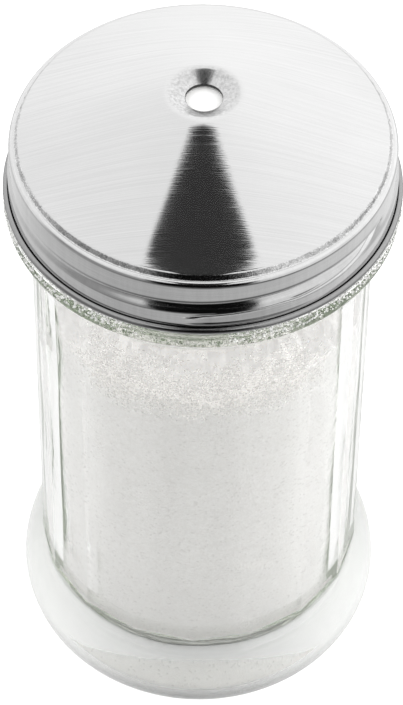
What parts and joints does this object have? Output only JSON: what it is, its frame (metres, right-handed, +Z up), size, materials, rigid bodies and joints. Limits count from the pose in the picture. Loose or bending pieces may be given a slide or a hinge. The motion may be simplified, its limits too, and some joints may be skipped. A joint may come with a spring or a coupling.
{
  "type": "sugar dispenser",
  "caption": "Panelled glass jar with a round foot and a screwed steel lid whose pour hole is closed from below by a weighted flap that opens when tipped.",
  "frame": {"origin": "centre of the foot's resting face", "axes": "+Z up along the jar, -Y is the front that the flap's hinge lies away from, +X to the right"},
  "size_m": [0.0764, 0.0764, 0.1529],
  "materials": {
    "clear_glass": "clear soda-lime glass, polished, faintly green where it is thick",
    "brushed_lid_steel": "stainless steel sheet with a fine brushed top and bright rolled edges",
    "white_plastic": "moulded white polypropylene, satin",
    "gasket_rubber": "pale food-grade rubber, matt",
    "pin_steel": "stainless steel rod, drawn"
  },
  "bodies": {
    "jar": {"glass_jar": "clear_glass"},
    "gasket": {"sealing_gasket": "gasket_rubber"},
    "lid": {"lid_shell": "brushed_lid_steel", "lid_insert": "white_plastic", "hinge_pin": "pin_steel"},
    "flap": {"flap": "white_plastic", "counterweight": "pin_steel"}
  },
  "joints": [
    {"name": "lid_lift", "type": "slide", "parent": "jar", "child": "gasket", "axis": [0, 0, 1], "range_m": [0, 0.00378]},
    {"name": "lid_turn", "type": "hinge", "parent": "gasket", "child": "lid", "pos_m": [0, 0, 0.14], "axis": [0, 0, 1], "range_deg": [0, 320]},
    {"name": "flap_swing", "type": "hinge", "parent": "lid", "child": "flap", "pos_m": [0, 0.012, 0.14623], "axis": [1, 0, 0], "range_deg": [0, 25]}
  ],
  "couplings": [
    {"joint": "lid_lift", "follows": "lid_turn", "m_per_rad": 0.00067376}
  ]
}
